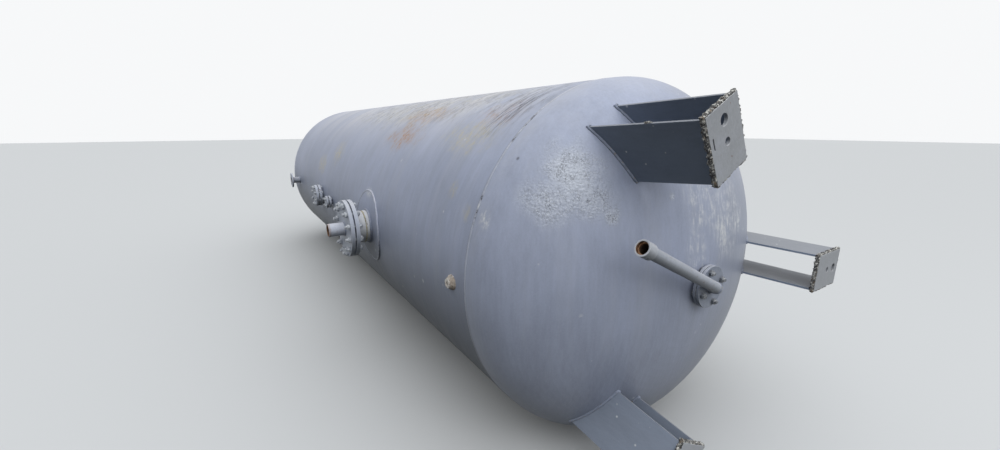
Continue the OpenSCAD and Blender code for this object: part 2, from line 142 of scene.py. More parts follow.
world = bpy.data.worlds.new("overcast_studio")
scene.world = world
world.use_nodes = True
tree = world.node_tree
tree.nodes.clear()
direction = add_node(tree, "ShaderNodeTexCoord").outputs["Generated"]
height = vector_calc(tree, "DOT_PRODUCT", direction, SKY_TILT)
sockets = {0: height, 1: HORIZON, 2: 1.0, 3: SKY_EDGE, 4: SKY_TOP}
sky = add_node(tree, "ShaderNodeMapRange", sockets).outputs[0]
sky_light = add_node(tree, "ShaderNodeBackground", {"Color": SKY_COLOUR, "Strength": sky})
backdrop = add_node(tree, "ShaderNodeBackground", {"Color": BACKGROUND, "Strength": 1.0})
shown = add_node(
    tree,
    "ShaderNodeMixShader",
    {0: seen_directly(tree), 1: sky_light.outputs[0], 2: backdrop.outputs[0]},
)
add_node(tree, "ShaderNodeOutputWorld", {"Surface": shown.outputs[0]})

softbox = bpy.data.lights.new("softbox", "AREA")
softbox.shape = "DISK"
softbox.size = SOFTBOX_SIZE
softbox.energy = SOFTBOX_WATTS
softbox_stand = add_object("softbox", softbox)
softbox_way = Vector(SOFTBOX_WAY).normalized()
softbox_stand.location = Vector(SOFTBOX_AIM) + softbox_way * SOFTBOX_FAR
softbox_stand.rotation_euler = softbox_way.to_track_quat("Z", "Y").to_euler()


def mesh_of(name, shape):
    """A mesh made of a shape, which is used up."""
    mesh = bpy.data.meshes.new(name)
    shape.to_mesh(mesh)
    shape.free()
    return mesh


shape = bmesh.new()
bmesh.ops.create_grid(shape, x_segments=1, y_segments=1, size=FLOOR_HALF)
floor_mesh = mesh_of("studio_floor", shape)
studio_floor = add_object("studio_floor", floor_mesh)

floor_paint = bpy.data.materials.new("studio_floor")
floor_paint.use_nodes = True
tree = floor_paint.node_tree
tree.nodes.clear()
surface = add_node(
    tree,
    "ShaderNodeBsdfDiffuse",
    {"Color": tint(tree, seen_directly(tree), FLOOR_BOUNCE, FLOOR_SEEN)},
)
add_node(tree, "ShaderNodeOutputMaterial", {"Surface": surface.outputs[0]})
floor_mesh.materials.append(floor_paint)


# Shell. Steel plate rolled into a barrel and brushed with blue-grey paint, now dusty
# and stained along the top, scratched near the seam, and darkened underneath by painted shade.

AXIS_Y = 0.1325
AXIS_Z = 0.9006
SHELL_R = 0.900
NEAR_SEAM = 2.343
FAR_SEAM = -2.557
VESSEL_PAINT = (0.360, 0.398, 0.520, 1.0)
CHALK = (0.50, 0.52, 0.59, 1.0)
DUST = (0.66, 0.645, 0.66, 1.0)
DIRT_AND_SHADE = (0.065, 0.072, 0.078, 1.0)
RUST_STAIN = (0.44, 0.24, 0.115, 1.0)
YELLOW_STAIN = (0.56, 0.50, 0.32, 1.0)
DARK_LINE = (0.060, 0.060, 0.075, 1.0)
SPLASH = (0.72, 0.73, 0.74, 1.0)
ROUND_THE_SHELL = (1.0, 0.12, 0.12)
SHELL_STAINS = (
    ((1.093, -0.528, 1.511), (0.36, 0.14, 0.13), RUST_STAIN, 1.2),
    ((1.135, -0.369, 1.647), (0.44, 0.17, 0.12), RUST_STAIN, 1.1),
    ((1.962, -0.509, 1.531), (0.34, 0.15, 0.15), YELLOW_STAIN, 0.9),
    ((2.060, -0.387, 1.635), (0.28, 0.15, 0.11), RUST_STAIN, 0.6),
    ((-0.778, -0.713, 1.208), (0.24, 0.07, 0.16), YELLOW_STAIN, 1.0),
    ((-0.271, -0.645, 1.351), (0.22, 0.10, 0.18), YELLOW_STAIN, 1.0),
    ((2.093, -0.677, 1.292), (0.05, 0.05, 0.06), YELLOW_STAIN, 0.7),
    ((2.265, -0.710, 1.214), (0.05, 0.05, 0.06), YELLOW_STAIN, 0.5),
    ((0.600, -0.300, 1.680), (1.50, 0.34, 0.16), YELLOW_STAIN, 0.5),
    ((1.500, -0.150, 1.760), (0.90, 0.30, 0.10), YELLOW_STAIN, 0.4),
    ((0.918, -0.738, 1.131), (0.10, 0.06, 0.05), SPLASH, 1.6),
)
SEAM_SCRATCHES = (
    ((2.079, -0.313, 1.683), (-0.976, 0.190, 0.108)),
    ((2.163, -0.336, 1.669), (-0.981, 0.164, 0.100)),
    ((2.100, -0.402, 1.624), (-0.881, 0.378, 0.284)),
)
SOCKET_KINDS = {
    "Paint": "Color",
    "Color": "Color",
    "Place": "Vector",
    "Grain": "Vector",
    "Centre": "Vector",
    "Size": "Vector",
    "Start": "Vector",
    "Across": "Vector",
}
DUSTY_TOP = ((0.75, -0.20, 1.74), (2.4, 0.62, 0.30))
SCRATCHED_PLACE = ((2.12, -0.32, 1.67), (0.26, 0.38, 0.28))
SCRATCH_WIDTH = 0.008
SEAM_CLEAN = 0.7
PAINT_DEPTH = 0.0009


def field(tree, place, scale, detail=4.0, rough=0.5, twist=0.0):
    """Cloudy noise from 0 to 1 over a coordinate."""
    sockets = {"Vector": place, "Scale": scale, "Detail": detail, "Roughness": rough, "Distortion": twist}
    return add_node(tree, "ShaderNodeTexNoise", sockets).outputs[0]


def between(tree, value, low, high, start=0.0, end=1.0):
    """A value eased from start to end as it goes from low to high."""
    sockets = {0: value, 1: low, 2: high, 3: start, 4: end}
    return add_node(tree, "ShaderNodeMapRange", sockets, interpolation_type="SMOOTHSTEP").outputs[0]


def along(tree, place, stretch):
    """A coordinate drawn out so that noise on it becomes streaks."""
    return add_node(tree, "ShaderNodeMapping", {0: place, 3: stretch}).outputs[0]


def part_of(tree, vector, axis):
    """The X, Y or Z of a vector."""
    return add_node(tree, "ShaderNodeSeparateXYZ", {0: vector}).outputs[axis]


def facing_up(tree):
    """How far a surface faces up: 1 on top, 0 on a side and -1 underneath."""
    return part_of(tree, add_node(tree, "ShaderNodeNewGeometry").outputs["Normal"], "Z")


def new_group(name, takes, gives):
    """A node group with its sockets, given by name, and the values that it takes."""
    group = bpy.data.node_groups.new(name, "ShaderNodeTree")
    for side, labels in (("INPUT", takes), ("OUTPUT", gives)):
        for label in labels:
            kind = "NodeSocket" + SOCKET_KINDS.get(label, "Float")
            group.interface.new_socket(name=label, in_out=side, socket_type=kind)
    return group, *group.nodes.new("NodeGroupInput").outputs[: len(takes)]


def give(tree, **results):
    """Sends a node group's results out by name."""
    add_node(tree, "NodeGroupOutput", results)


def use_group(tree, name, **values):
    """A node group placed in a material with its own values: its outputs."""
    group = bpy.data.node_groups[name]
    return add_node(tree, "ShaderNodeGroup", values, node_tree=group).outputs


def new_finish(name):
    """A material with an empty tree, that tree, and the piece's own coordinates."""
    finish = bpy.data.materials.new(name)
    finish.use_nodes = True
    finish.node_tree.nodes.clear()
    place = add_node(finish.node_tree, "ShaderNodeTexCoord").outputs["Object"]
    return finish, finish.node_tree, place


def close_finish(tree, colour, rough, relief, depth, metallic=0.0, specular=0.35):
    """Ends a material with its surface. Depth is how many metres a relief of 1 stands for."""
    bump = add_node(tree, "ShaderNodeBump", {"Distance": depth, "Height": relief})
    surface = add_node(
        tree,
        "ShaderNodeBsdfPrincipled",
        {
            "Base Color": colour,
            "Roughness": rough,
            "Metallic": metallic,
            "Specular IOR Level": specular,
            "Normal": bump.outputs[0],
        },
    )
    add_node(tree, "ShaderNodeOutputMaterial", {"Surface": surface.outputs[0]})


tree, paint, place, grain, chalky, dusty, underside_shade = new_group(
    "brushed_paint",
    ("Paint", "Place", "Grain", "Chalky", "Dusty", "Underside_Shade"),
    ("Color", "Roughness", "Height"),
)
cloud = field(tree, place, 2.2, 6.0, 0.60)
streak = field(tree, grain, 11.0, 7.0, 0.62)
brush = field(tree, grain, 60.0, 5.0, 0.62)
grit = field(tree, place, 130.0, 3.0, 0.6)
shade = added(tree, cloud, 0.52, 0.36)
shade = added(tree, streak, 0.34, shade)
shade = added(tree, brush, 0.24, shade)
shade = added(tree, grit, 0.18, shade)
colour = vector_calc(tree, "SCALE", paint, shade)
worn = between(tree, field(tree, grain, 6.0, 9.0, 0.7), 0.48, 0.74)
worn = times(tree, worn, chalky)
colour = tint(tree, worn, colour, CHALK)
upward = facing_up(tree)
settled = between(tree, field(tree, grain, 4.0, 8.0, 0.66), 0.18, 0.74)
settled = times(tree, settled, between(tree, upward, 0.45, 1.0))
settled = times(tree, settled, dusty)
colour = tint(tree, settled, colour, DUST)
# Painted shade: faces that turn downwards are darkened, scaled by the group's last input.
painted_underside_shade = between(tree, upward, 0.25, -0.65)
painted_underside_shade = times(tree, painted_underside_shade, underside_shade)
colour = tint(tree, painted_underside_shade, colour, DIRT_AND_SHADE)
rough = added(tree, streak, 0.26, 0.30)
rough = added(tree, settled, 0.25, rough)
rough = added(tree, worn, 0.15, rough)
relief = added(tree, streak, 0.6, brush)
relief = added(tree, grit, 0.25, relief)
give(tree, Color=colour, Roughness=rough, Height=relief)


def brushed(tree, paint, place, grain, chalky, dusty, underside_shade):
    """The brushed paint in one colour: how chalky and dusty, and how much painted shade underneath, from
    0 to 1.
    """
    wear_and_shade = {"Chalky": chalky, "Dusty": dusty, "Underside_Shade": underside_shade}
    return use_group(tree, "brushed_paint", Paint=paint, Place=place, Grain=grain, **wear_and_shade)


tree, place, grain, centre, size, broken, strength = new_group(
    "stain_patch", ("Place", "Grain", "Centre", "Size", "Broken", "Strength"), ("Mask",)
)
offset = vector_calc(tree, "SUBTRACT", place, centre)
offset = vector_calc(tree, "DIVIDE", offset, size)
reach = vector_calc(tree, "LENGTH", offset)
ragged = field(tree, place, 9.0, 5.0, 0.6)
reach = added(tree, ragged, 1.1, reach)
mask = between(tree, reach, 1.55, 0.75)
speckle = between(tree, field(tree, grain, 26.0, 8.0, 0.72), 0.40, 0.66)
blotch = between(tree, field(tree, place, 34.0, 6.0, 0.7), 0.36, 0.62)
kept = calc(tree, "SUBTRACT", times(tree, speckle, blotch), 1.0)
kept = added(tree, kept, broken, 1.0)
mask = times(tree, mask, kept)
mask = times(tree, mask, strength)
give(tree, Mask=mask)


def patch(tree, place, grain, centre, size, broken, strength):
    """Where a patch lies that is ragged at its rim and, the more broken, speckled inside."""
    spread = {"Centre": centre, "Size": size, "Broken": broken, "Strength": strength}
    return use_group(tree, "stain_patch", Place=place, Grain=grain, **spread)["Mask"]


tree, grain, scale, width = new_group("thin_lines", ("Grain", "Scale", "Width"), ("Mask",))
ridge = field(tree, grain, scale, 5.0, 0.6, 0.4)
ridge = calc(tree, "ABSOLUTE", calc(tree, "SUBTRACT", ridge, 0.5))
give(tree, Mask=between(tree, ridge, width, 0.0))

tree, place, scale, share = new_group("splashes", ("Place", "Scale", "Share"), ("Mask",))
cells = add_node(tree, "ShaderNodeTexVoronoi", {"Vector": place, "Scale": scale}).outputs
chosen = add_node(tree, "ShaderNodeSeparateColor", {0: cells["Color"]}).outputs
spot = between(tree, cells["Distance"], times(tree, chosen[1], 0.32), 0.0)
picked = calc(tree, "LESS_THAN", chosen[0], share)
give(tree, Mask=times(tree, spot, picked))


def painted_seam_shade(tree, place, colour):
    """A colour with painted shade along both edges of each seam weld, at the foot of the bead."""
    for seam_x in (NEAR_SEAM, FAR_SEAM):
        far = calc(tree, "ABSOLUTE", calc(tree, "SUBTRACT", part_of(tree, place, "X"), seam_x))
        far = added(tree, field(tree, place, 30.0, 3.0), 0.006, far)
        outside = between(tree, far, 0.0150, 0.0110)
        edge = times(tree, outside, between(tree, far, 0.0062, 0.0092))
        # Painted shade at the foot of the bead.
        colour = tint(tree, edge, colour, DIRT_AND_SHADE, 0.3)
    return colour


tree, place, start, across, width = new_group(
    "long_scratch", ("Place", "Start", "Across", "Width"), ("Mask",)
)
offset = vector_calc(tree, "SUBTRACT", place, start)
aside = vector_calc(tree, "DOT_PRODUCT", offset, across)
bent = field(tree, place, 5.0, 4.0, 0.6)
aside = added(tree, calc(tree, "SUBTRACT", bent, 0.5), 0.05, aside)
aside = calc(tree, "ABSOLUTE", aside)
thin = field(tree, place, 24.0, 5.0, 0.7)
thin = times(tree, thin, width)
give(tree, Mask=between(tree, aside, thin, times(tree, thin, 0.4)))

shell_paint, tree, place = new_finish("shell_paint")
grain = along(tree, place, ROUND_THE_SHELL)
length = part_of(tree, place, "X")
dusty = calc(
    tree,
    "MINIMUM",
    between(tree, length, NEAR_SEAM - SEAM_CLEAN, NEAR_SEAM, 0.85, 0.30),
    between(tree, length, FAR_SEAM + SEAM_CLEAN, FAR_SEAM, 0.85, 0.30),
)
coat = brushed(tree, VESSEL_PAINT, place, grain, chalky=0.35, dusty=dusty, underside_shade=0.95)
colour = coat["Color"]
crossed = along(tree, place, (1.0, 0.45, 0.45))
for centre, size, stain, strength in SHELL_STAINS:
    mask = patch(tree, place, crossed, centre, size, broken=0.9, strength=strength)
    colour = tint(tree, mask, colour, stain)
on_top = patch(tree, place, grain, *DUSTY_TOP, broken=0.55, strength=1.0)
lines = use_group(tree, "thin_lines", Grain=crossed, Scale=10.0, Width=0.050)["Mask"]
lines = times(tree, lines, on_top)
colour = tint(tree, lines, colour, DARK_LINE, 0.65)
flaking = use_group(tree, "thin_lines", Grain=crossed, Scale=12.0, Width=0.045)["Mask"]
flaking = times(tree, flaking, on_top)
colour = tint(tree, flaking, colour, SPLASH, 0.6)
by_seam = patch(tree, place, place, *SCRATCHED_PLACE, broken=0.3, strength=1.0)
scratches = use_group(tree, "thin_lines", Grain=grain, Scale=17.0, Width=0.036)["Mask"]
scratches = times(tree, scratches, 0.7)
for start, across in SEAM_SCRATCHES:
    gouge = use_group(tree, "long_scratch", Place=place, Start=start, Across=across, Width=SCRATCH_WIDTH)
    scratches = calc(tree, "MAXIMUM", scratches, gouge["Mask"])
scratched = times(tree, scratches, by_seam)
colour = tint(tree, scratched, colour, DARK_LINE)
spots = use_group(tree, "splashes", Place=place, Scale=16.0, Share=0.05)
colour = tint(tree, spots["Mask"], colour, SPLASH, 0.7)
# Painted shade: the shell is darkened towards the ground.
height = part_of(tree, place, "Z")
painted_low_shade = between(tree, height, 1.15, 0.35, 0.0, 0.45)
colour = tint(tree, painted_low_shade, colour, DIRT_AND_SHADE)
colour = painted_seam_shade(tree, place, colour)
relief = added(tree, scratched, -2.5, coat["Height"])
relief = added(tree, lines, -2.0, relief)
close_finish(tree, colour, coat["Roughness"], relief, PAINT_DEPTH, specular=0.14)


def repaint(finish, *nodes):
    """Gives CAD nodes a finish in place of the plain one they came with."""
    for name in nodes:
        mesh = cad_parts[name].data
        mesh.materials.clear()
        mesh.materials.append(finish)


repaint(shell_paint, "shell")


# Heads. Two domed ends pressed from one plate each and brushed with the same
# paint, which has blistered near the top leg and run in pale drips on one side.

BLEACHED = (0.52, 0.555, 0.64, 1.0)
FLAKE_AND_HIGHLIGHT = (0.68, 0.72, 0.80, 1.0)
SIDE_SHADE = (0.230, 0.242, 0.275, 1.0)
PAINTED_HEAD_HIGHLIGHT = ((2.640, -0.455, 1.395), (0.13, 0.12, 0.13))
PIT = ((2.446, -0.573, 1.448), (0.010, 0.010, 0.013))
HEAD_BLISTERS = (
    ((2.632, -0.443, 1.412), (0.19, 0.17, 0.17)),
    ((2.614, -0.545, 1.300), (0.17, 0.15, 0.13)),
    ((2.694, -0.410, 1.311), (0.13, 0.13, 0.13)),
    ((2.740, -0.347, 1.243), (0.05, 0.05, 0.05)),
    ((2.794, -0.063, 1.297), (0.025, 0.025, 0.025)),
)
HEAD_RUNS = (
    ((2.824, 0.125, 1.272), (0.20, 0.16, 0.20)),
    ((2.830, 0.320, 1.180), (0.20, 0.20, 0.26)),
    ((2.859, 0.075, 1.048), (0.16, 0.10, 0.16)),
    ((2.836, 0.276, 1.099), (0.10, 0.09, 0.16)),
    ((2.801, 0.456, 1.163), (0.10, 0.09, 0.16)),
    ((2.422, -0.708, 1.217), (0.05, 0.03, 0.06)),
)
DOWN_THE_HEAD = (1.0, 1.0, 0.10)

tree, place, scale = new_group("blistered_paint", ("Place", "Scale"), ("Mask", "Height"))
wander = field(tree, place, 22.0, 4.0, 0.6)
wander = vector_calc(tree, "SCALE", place, wander)
wander = vector_calc(tree, "SCALE", wander, 0.03)
wander = vector_calc(tree, "ADD", place, wander)
cracks = add_node(
    tree,
    "ShaderNodeTexVoronoi",
    {"Vector": wander, "Scale": scale},
    feature="DISTANCE_TO_EDGE",
).outputs["Distance"]
blisters = add_node(
    tree,
    "ShaderNodeTexVoronoi",
    {"Vector": wander, "Scale": scale, "Smoothness": 0.6},
    feature="SMOOTH_F1",
).outputs["Distance"]
give(tree, Mask=between(tree, cracks, 0.10, 0.0), Height=between(tree, blisters, 0.7, 0.1))

head_paint, tree, place = new_finish("head_paint")
grain = along(tree, place, DOWN_THE_HEAD)
coat = brushed(tree, VESSEL_PAINT, place, grain, chalky=0.30, dusty=0.25, underside_shade=0.45)
# Painted shade: the head is darkened towards its +Y side.
aside = part_of(tree, place, "Y")
painted_side_shade = times(tree, between(tree, aside, 0.10, 0.45), 0.32)
colour = tint(tree, painted_side_shade, coat["Color"], SIDE_SHADE)
relief = coat["Height"]
rough = coat["Roughness"]
crazing = use_group(tree, "blistered_paint", Place=place, Scale=80.0)
blistered = 0.0
for centre, size in HEAD_BLISTERS:
    mask = patch(tree, place, place, centre, size, broken=0.25, strength=1.0)
    blistered = calc(tree, "MAXIMUM", mask, blistered)
colour = tint(tree, blistered, colour, BLEACHED, 0.75)
# Painted highlight: a soft pale patch on the blistered paint where the light shines on it.
painted_highlight = patch(tree, place, place, *PAINTED_HEAD_HIGHLIGHT, broken=0.0, strength=0.45)
colour = tint(tree, painted_highlight, colour, FLAKE_AND_HIGHLIGHT)
broken = between(tree, field(tree, place, 26.0, 4.0, 0.6), 0.44, 0.58)
broken = times(tree, times(tree, broken, blistered), 0.9)
colour = tint(tree, times(tree, crazing["Mask"], broken), colour, DARK_LINE)
# Pale flecks where lifted paint shows chalky edges, and dark flecks of painted shade under the lifted
# flakes.
for flake, first, last, strength in ((FLAKE_AND_HIGHLIGHT, 0.54, 0.60, 0.75), (DARK_LINE, 0.41, 0.36, 0.35)):
    flaked = between(tree, field(tree, place, 150.0, 3.0, 0.6, 0.8), first, last)
    flaked = times(tree, times(tree, flaked, blistered), strength)
    colour = tint(tree, flaked, colour, flake)
swell = times(tree, blistered, crazing["Height"])
dripping = along(tree, place, (2.6, 2.6, 0.30))
relief = added(tree, swell, 2.6, relief)
rough = calc(tree, "SUBTRACT", rough, times(tree, blistered, 0.16))
for centre, size in HEAD_RUNS:
    mask = patch(tree, place, dripping, centre, size, broken=1.0, strength=0.85)
    colour = tint(tree, mask, colour, SPLASH)
spots = use_group(tree, "splashes", Place=place, Scale=19.0, Share=0.06)
colour = tint(tree, spots["Mask"], colour, SPLASH, 0.6)
pit = patch(tree, place, place, *PIT, broken=0.0, strength=0.7)
colour = tint(tree, pit, colour, DARK_LINE)
colour = painted_seam_shade(tree, place, colour)
rough = times(tree, rough, 0.88)
close_finish(tree, colour, rough, relief, PAINT_DEPTH)

repaint(head_paint, "legged_end_head", "plain_end_head")


# Seam welds. A bead laid by hand round each joint of shell and head, brushed over
# with the same paint, and worn flat underneath where the vessel lies on it.

SEAM_BEAD_HALF = 0.008
SEAM_BEAD_HIGH = 0.002
SEAM_BEAD_STEPS = 480
SEAM_RIPPLE = 0.0004
SEAM_WANDER = 0.0012
SEAM_CHIP = (2.343, -0.690, 1.252)
SEAM_BARE = (2.340, -0.456, 1.581)
SEAM_PAINT = (0.44, 0.47, 0.57, 1.0)
SEAM_BEAD_OUTLINE = (
    (-1.0, -1.0),
    (-0.85, 0.15),
    (-0.45, 0.75),
    (0.0, 1.0),
    (0.45, 0.75),
    (0.85, 0.15),
    (1.0, -1.0),
)


def keep_piece(name, shape, finish, slot, *nodes, smooth_to=38.0):
    """Makes an object of a shape: it rides on the vessel and stands for the CAD nodes named."""
    bmesh.ops.remove_doubles(shape, verts=shape.verts, dist=1e-6)
    bmesh.ops.recalc_face_normals(shape, faces=shape.faces)
    mesh = mesh_of(name, shape)
    mesh.shade_smooth()
    mesh.set_sharp_from_angle(angle=math.radians(smooth_to))
    mesh.materials.append(finish)
    piece = add_object(name, mesh)
    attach(piece, "root")
    if nodes:
        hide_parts(*nodes)


def spin_round(shape, points, edges, centre, axis, steps):
    """Spins an outline once round an axis into a closed surface."""
    bmesh.ops.spin(
        shape,
        geom=points + edges,
        cent=centre,
        axis=axis,
        angle=math.tau,
        steps=steps,
        use_merge=True,
    )


def uneven(point, scale, seed):
    """Noise from -1 to 1 at a point, for pieces shaped by hand or flame."""
    return noise.noise(point * scale + Vector((seed, 3.1 * seed, -seed)))


seam_paint, tree, place = new_finish("seam_paint")
coat = brushed(tree, SEAM_PAINT, place, place, chalky=0.8, dusty=0.7, underside_shade=0.8)
ripple = field(tree, place, 120.0, 5.0, 0.6)
missed = field(tree, along(tree, place, (1.0, 0.3, 0.3)), 22.0, 6.0, 0.7)
missed = between(tree, missed, 0.58, 0.66)
colour = tint(tree, missed, coat["Color"], DARK_LINE, 0.8)
for centre, size in ((SEAM_BARE, (0.30, 0.22, 0.30)), (SEAM_CHIP, (0.12, 0.11, 0.13))):
    bare = patch(tree, place, place, centre, size, broken=1.0, strength=1.4)
    colour = tint(tree, bare, colour, DARK_LINE)
chip = patch(tree, place, place, SEAM_CHIP, (0.014, 0.015, 0.018), broken=0.2, strength=1.0)
colour = tint(tree, chip, colour, SPLASH)
close_finish(tree, colour, coat["Roughness"], ripple, 0.0020, specular=0.3)

for node, seam_x in (("legged_end_seam_weld", NEAR_SEAM), ("plain_end_seam_weld", FAR_SEAM)):
    shape = bmesh.new()
    centre = Vector((seam_x, AXIS_Y, AXIS_Z))
    outline = []
    for across, up in SEAM_BEAD_OUTLINE:
        corner = Vector((across * SEAM_BEAD_HALF, 0, SHELL_R + up * SEAM_BEAD_HIGH))
        outline.append(shape.verts.new(centre + corner))
    edges = [shape.edges.new(pair) for pair in zip(outline, outline[1:] + outline[:1])]
    spin_round(shape, outline, edges, centre, (1, 0, 0), SEAM_BEAD_STEPS)
    for point in shape.verts:
        outwards = (point.co - centre) * Vector((0, 1, 1))
        if outwards.length > SHELL_R:
            ripple = uneven(point.co, 34.0, 1.0) + 0.6 * uneven(point.co, 110.0, 2.0)
            point.co += outwards.normalized() * SEAM_RIPPLE * (ripple - 1.0)
            point.co.x += SEAM_WANDER * uneven(outwards, 14.0, 4.0)
        point.co.z = max(point.co.z, 0.0)
    keep_piece(node + "_bead", shape, seam_paint, "shell_paint", node)


# Legs. Two flame-cut side plates and a foot plate each. The side plates carry a coat
# darker than the shell's, and the feet a paler one that is worn thin along the edges.

LEG_PAINT = (0.250, 0.305, 0.415, 1.0)
LEG_DUST = (0.250, 0.252, 0.262, 1.0)
FOOT_PAINT = (0.37, 0.385, 0.415, 1.0)
EDGE_PALE = (0.50, 0.53, 0.60, 1.0)
RUST_BROWN = (0.20, 0.095, 0.045, 1.0)
LEG_LENGTHWAYS = (0.25, 1.0, 1.0)
SHARP_FROM = math.radians(30)
FLAT_WITHIN = math.radians(0.8)
PLATE_EASING = 0.0008
THIN_PAINT = 0.0008
FOOT_EASING = 0.0012


def round_off(shape, edges, easing):
    """Rounds edges off in two facets."""
    bmesh.ops.bevel(
        shape,
        geom=edges,
        offset=easing,
        segments=2,
        affect="EDGES",
        profile=0.5,
        clamp_overlap=True,
        material=-1,
    )


def eased_copy(node, easing, finish, slot):
    """Stands a copy of a CAD node, with its sharp edges rounded off, in its place."""
    shape = bmesh.new()
    shape.from_mesh(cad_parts[node].data)
    bmesh.ops.remove_doubles(shape, verts=shape.verts, dist=1e-5)
    bmesh.ops.dissolve_limit(shape, angle_limit=FLAT_WITHIN, verts=shape.verts, edges=shape.edges)
    sharp = [edge for edge in shape.edges if edge.calc_face_angle(0.0) > SHARP_FROM]
    round_off(shape, sharp, easing)
    keep_piece(node + "_finished", shape, finish, slot, node, smooth_to=8.0)


tree, place, width = new_group("worn_edges", ("Place", "Width"), ("Mask",))
rounded = add_node(tree, "ShaderNodeBevel", {"Radius": width}).outputs[0]
facing = add_node(tree, "ShaderNodeNewGeometry").outputs["Normal"]
alike = vector_calc(tree, "DOT_PRODUCT", rounded, facing)
on_edge = between(tree, alike, 0.995, 0.90)
chipped = between(tree, field(tree, place, 70.0, 6.0, 0.7), 0.36, 0.56)
give(tree, Mask=times(tree, on_edge, chipped))

tree, place, scale, share = new_group("rust_flecks", ("Place", "Scale", "Share"), ("Mask",))
flecks = field(tree, place, scale, 9.0, 0.74)
rarest = calc(tree, "SUBTRACT", 0.78, share)
give(tree, Mask=between(tree, flecks, rarest, calc(tree, "ADD", rarest, 0.06)))


def edges_and_rust(tree, place, colour, width, pale, share, scale=38.0):
    """Pale worn edges and flecks of rust laid over a painted colour, and where the rust is."""
    edge = use_group(tree, "worn_edges", Place=place, Width=width)["Mask"]
    colour = tint(tree, edge, colour, pale, 0.75)
    rust = use_group(tree, "rust_flecks", Place=place, Scale=scale, Share=share)["Mask"]
    return tint(tree, rust, colour, RUST_BROWN), rust


leg_paint, tree, place = new_finish("leg_paint")
grain = along(tree, place, LEG_LENGTHWAYS)
coat = brushed(tree, LEG_PAINT, place, grain, chalky=0.12, dusty=0.10, underside_shade=0.60)
upward = facing_up(tree)
dusted = times(tree, between(tree, upward, 0.15, 0.9), 0.75)
colour = tint(tree, dusted, coat["Color"], LEG_DUST)
colour, rust = edges_and_rust(tree, place, colour, 0.003, EDGE_PALE, 0.10)
spots = use_group(tree, "splashes", Place=place, Scale=42.0, Share=0.12)
colour = tint(tree, spots["Mask"], colour, SPLASH)
rough = added(tree, rust, 0.3, coat["Roughness"])
close_finish(tree, colour, rough, coat["Height"], THIN_PAINT, specular=0.2)


def painted(name, paint, wear_and_shade, rust_share, gloss, edge=0.004, depth=THIN_PAINT):
    """A brushed paint for a small piece, given how chalky and dusty it is and its painted shade
    underneath.
    """
    finish, tree, place = new_finish(name)
    coat = brushed(tree, paint, place, place, *wear_and_shade)
    colour, rust = edges_and_rust(tree, place, coat["Color"], edge, SPLASH, rust_share)
    rough = added(tree, rust, 0.3, coat["Roughness"])
    close_finish(tree, colour, rough, coat["Height"], depth, specular=gloss)
    return finish


foot_wear_and_shade = (0.55, 0.3, 0.5)
foot_paint = painted("foot_paint", FOOT_PAINT, foot_wear_and_shade, 0.14, 0.25, 0.003, PAINT_DEPTH)

for leg in ("top_leg", "low_leg", "back_leg"):
    for plate in ("near_plate", "far_plate"):
        eased_copy(leg + "_" + plate, PLATE_EASING, leg_paint, "leg_paint")
    eased_copy(leg + "_foot", FOOT_EASING, foot_paint, "foot_paint")


# Leg welds. A painted fillet runs round each side plate on the head, and a thick
# crusted bead of slag and scale runs all round the edge of each foot plate.

LEG_TURNS = {"top_leg": 29.0, "low_leg": 149.0, "back_leg": -91.0}
HEAD_RIM = 0.050
HEAD_DEPTH = 0.460
LEG_HALF = 0.089
PLATE_THICK = 0.010
PLATE_FROM = (0.803, 0.0468)
PLATE_TO = (0.547, 0.0891)
LEG_END = 0.712
FOOT_INNER = 0.600
FOOT_OUTER = 0.840
SPATTER = 0.0065
SPATTER_PLACE = (0.520, -0.084, 0.826)
SPATTER_SHAPE = (2.4, 0.8, 0.75, 1.0)
FILLET = 0.0064
FILLET_LUMPS = 0.0012
FILLET_OFF = FILLET * 0.2
FILLET_ASIDE = FILLET * 0.15
FILLET_STEPS = 48
FILLET_PAINT = (0.27, 0.305, 0.40, 1.0)
CRUST = 0.0074
CRUST_LUMPS = 0.0054
CRUST_SPREAD = 1.25
CRUST_STEP = 0.004
CRUST_DRIFT = 0.0016
CRUST_PAST = 0.0020
CRUST_FLAT = 0.0115
ROPE_SIDES = 10
SCALE_GREY = (0.12, 0.12, 0.122, 1.0)
SCALE_PALE = (0.76, 0.75, 0.71, 1.0)
SCALE_TAN = (0.31, 0.235, 0.165, 1.0)
SCALE_DARK = (0.030, 0.028, 0.028, 1.0)


def weld_rope(shape, path, size, lumps, seed, spread=1.0):
    """Lays a closed rope of weld along points, each given with the way that it bulges."""
    rings = []
    for index, (centre, bulge) in enumerate(path):
        onward = (path[(index + 1) % len(path)][0] - path[index - 1][0]).normalized()
        across = onward.cross(bulge).normalized()
        bulge = across.cross(onward)
        turned = Matrix((bulge, across * spread, onward)).transposed().to_4x4()
        ring = bmesh.ops.create_circle(
            shape, segments=ROPE_SIDES, radius=size, matrix=Matrix.Translation(centre) @ turned
        )["verts"]
        for point in ring:
            ripple = uneven(point.co, 90.0, seed) + 0.7 * uneven(point.co, 260.0, seed + 5.0)
            point.co += (point.co - centre).normalized() * lumps * ripple
        rings.append(list({edge for point in ring for edge in point.link_edges}))
    for index, ring in enumerate(rings):
        bmesh.ops.bridge_loops(shape, edges=rings[index - 1] + ring)


def dome_point(y, z, lift=0.0):
    """The point over y and z on the legged head's outside, and the way out of the head there."""
    share = (y * y + z * z) / SHELL_R**2
    point = Vector((HEAD_RIM + HEAD_DEPTH * math.sqrt(max(1.0 - share, 0.0)), y, z))
    outwards = Vector(((point.x - HEAD_RIM) / HEAD_DEPTH**2, y / SHELL_R**2, z / SHELL_R**2))
    return point + outwards.normalized() * lift, outwards.normalized()


